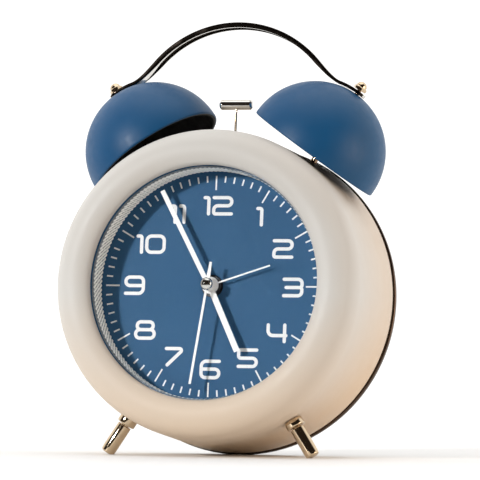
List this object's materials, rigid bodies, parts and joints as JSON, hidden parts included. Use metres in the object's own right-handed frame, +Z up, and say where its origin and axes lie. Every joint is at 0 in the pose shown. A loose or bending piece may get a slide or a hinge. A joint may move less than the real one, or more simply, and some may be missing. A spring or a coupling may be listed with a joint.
{
  "type": "alarm clock",
  "caption": "Twin-bell alarm clock: round drum on splayed feet, domed bells with a hammer between them, arched carrying strap, numbered dial and a battery movement inside.",
  "frame": {"origin": "centre of the bounding box on the table surface, below the middle of the clock as it stands", "axes": "+Z up from the table, +X to the right as the dial is read, +Y from the dial to the back; the drum leans back, so its own axis is tilted from +Y in the YZ plane"},
  "size_m": [0.1226, 0.078, 0.1696],
  "materials": {
    "pearl_shell": "satin pearl lacquer",
    "bell_blue": "satin metallic blue lacquer",
    "dial_blue": "matte printed blue",
    "hand_white": "matte white",
    "chrome": "polished",
    "steel": "bright zinc",
    "brass": "bright",
    "copper": "enamelled copper wire",
    "black_plastic": "fine grained black",
    "nylon": "natural white moulding",
    "lens_glass": "clear flat window",
    "circuit_board": "green solder mask",
    "cell_jacket": "printed film jacket"
  },
  "bodies": {
    "case": {"front_shell": "pearl_shell", "rear_ring": "pearl_shell", "back_cover": "black_plastic", "lens": "lens_glass", "chapter_ring": "chrome", "dial_plate": "dial_blue", "back_screw_1": "steel", "back_screw_2": "steel", "back_screw_3": "steel", "back_screw_4": "steel", "foot_left": "chrome", "foot_right": "chrome", "foot_collar_left": "chrome", "foot_collar_right": "chrome", "bell_left": "bell_blue", "bell_right": "bell_blue", "bell_post_left": "chrome", "bell_post_right": "chrome", "bell_nut_left": "chrome", "bell_nut_right": "chrome", "carry_handle": "chrome", "hammer_bracket": "steel", "hammer_pivot": "steel", "bell_motor": "steel", "movement_front_plate": "black_plastic", "movement_middle_plate": "nylon", "movement_cover": "black_plastic", "circuit_board": "circuit_board", "stator": "steel", "coil": "copper", "contact_strip": "steel", "battery_upper": "cell_jacket", "battery_lower": "cell_jacket", "battery_spring_upper": "steel", "battery_spring_lower": "steel"},
    "minute_arbor": {"minute_hand": "hand_white", "minute_pinion": "brass"},
    "hour_arbor": {"hour_hand": "hand_white", "hour_wheel": "nylon"},
    "time_setting": {"time_knob": "black_plastic", "motion_wheel": "nylon"},
    "second_arbor": {"second_hand": "hand_white", "hand_cap": "chrome", "second_wheel": "nylon"},
    "third_arbor": {"third_wheel": "nylon"},
    "centre_drive": {"centre_wheel": "brass"},
    "step_arbor": {"step_wheel": "nylon"},
    "rotor_arbor": {"rotor": "nylon"},
    "alarm_arbor": {"alarm_hand": "hand_white", "alarm_wheel": "nylon"},
    "alarm_setting": {"alarm_knob": "black_plastic", "alarm_pinion": "nylon"},
    "hammer": {"hammer_lever": "steel", "hammer_rod": "chrome", "hammer_head": "chrome"},
    "crank": {"crank_gear": "nylon"},
    "motor_drive": {"motor_pinion": "brass"},
    "alarm_switch": {"alarm_switch": "nylon"},
    "battery_door": {"battery_door": "black_plastic"}
  },
  "joints": [
    {"name": "minute_turn", "type": "hinge", "parent": "case", "child": "minute_arbor", "pos_m": [0, -0.01709, 0.06533], "axis": [0, 0.9954, -0.0958], "continuous": true},
    {"name": "hour_turn", "type": "hinge", "parent": "case", "child": "hour_arbor", "pos_m": [0, -0.01709, 0.06533], "axis": [0, 0.9954, -0.0958], "continuous": true},
    {"name": "time_knob_turn", "type": "hinge", "parent": "case", "child": "time_setting", "pos_m": [0.01, -0.01709, 0.06533], "axis": [0, 0.9954, -0.0958], "continuous": true},
    {"name": "second_turn", "type": "hinge", "parent": "case", "child": "second_arbor", "pos_m": [0, -0.01709, 0.06533], "axis": [0, 0.9954, -0.0958], "continuous": true},
    {"name": "third_turn", "type": "hinge", "parent": "case", "child": "third_arbor", "pos_m": [0, -0.01624, 0.07409], "axis": [0, 0.9954, -0.0958], "continuous": true},
    {"name": "centre_turn", "type": "hinge", "parent": "case", "child": "centre_drive", "pos_m": [0, -0.01709, 0.06533], "axis": [0, 0.9954, -0.0958], "continuous": true},
    {"name": "step_turn", "type": "hinge", "parent": "case", "child": "step_arbor", "pos_m": [0, -0.01794, 0.05647], "axis": [0, 0.9954, -0.0958], "continuous": true},
    {"name": "rotor_turn", "type": "hinge", "parent": "case", "child": "rotor_arbor", "pos_m": [-0.00185, -0.01842, 0.05142], "axis": [0, 0.9954, -0.0958], "continuous": true},
    {"name": "alarm_turn", "type": "hinge", "parent": "case", "child": "alarm_arbor", "pos_m": [0, -0.01709, 0.06533], "axis": [0, 0.9954, -0.0958], "continuous": true},
    {"name": "alarm_knob_turn", "type": "hinge", "parent": "case", "child": "alarm_setting", "pos_m": [-0.01, -0.01709, 0.06533], "axis": [0, 0.9954, -0.0958], "continuous": true},
    {"name": "hammer_swing", "type": "hinge", "parent": "case", "child": "hammer", "pos_m": [0, 0.00888, 0.09397], "axis": [0, 0.9954, -0.0958], "range_deg": [-5, 5]},
    {"name": "crank_turn", "type": "hinge", "parent": "case", "child": "crank", "pos_m": [0, 0.01003, 0.10591], "axis": [0, 0.9954, -0.0958], "range_deg": [-90, 90]},
    {"name": "motor_turn", "type": "hinge", "parent": "case", "child": "motor_drive", "pos_m": [0.0096, 0.01003, 0.10591], "axis": [0, 0.9954, -0.0958], "range_deg": [-270, 270]},
    {"name": "alarm_switch_slide", "type": "slide", "parent": "case", "child": "alarm_switch", "axis": [1, 0, 0], "range_m": [0, 0.005]},
    {"name": "battery_door_open", "type": "hinge", "parent": "case", "child": "battery_door", "pos_m": [0, 0.02337, 0.01492], "axis": [-1, 0, 0], "range_deg": [0, 75]}
  ],
  "couplings": [
    {"joint": "hour_turn", "follows": "minute_turn", "ratio": 0.083333},
    {"joint": "time_knob_turn", "follows": "minute_turn", "ratio": -0.33333},
    {"joint": "third_turn", "follows": "second_turn", "ratio": -0.13333},
    {"joint": "centre_turn", "follows": "second_turn", "ratio": 0.016667},
    {"joint": "step_turn", "follows": "second_turn", "ratio": -6},
    {"joint": "rotor_turn", "follows": "second_turn", "ratio": 30},
    {"joint": "alarm_knob_turn", "follows": "alarm_turn", "ratio": -3},
    {"joint": "crank_turn", "follows": "hammer_swing", "ratio": 18},
    {"joint": "motor_turn", "follows": "hammer_swing", "ratio": -54}
  ]
}
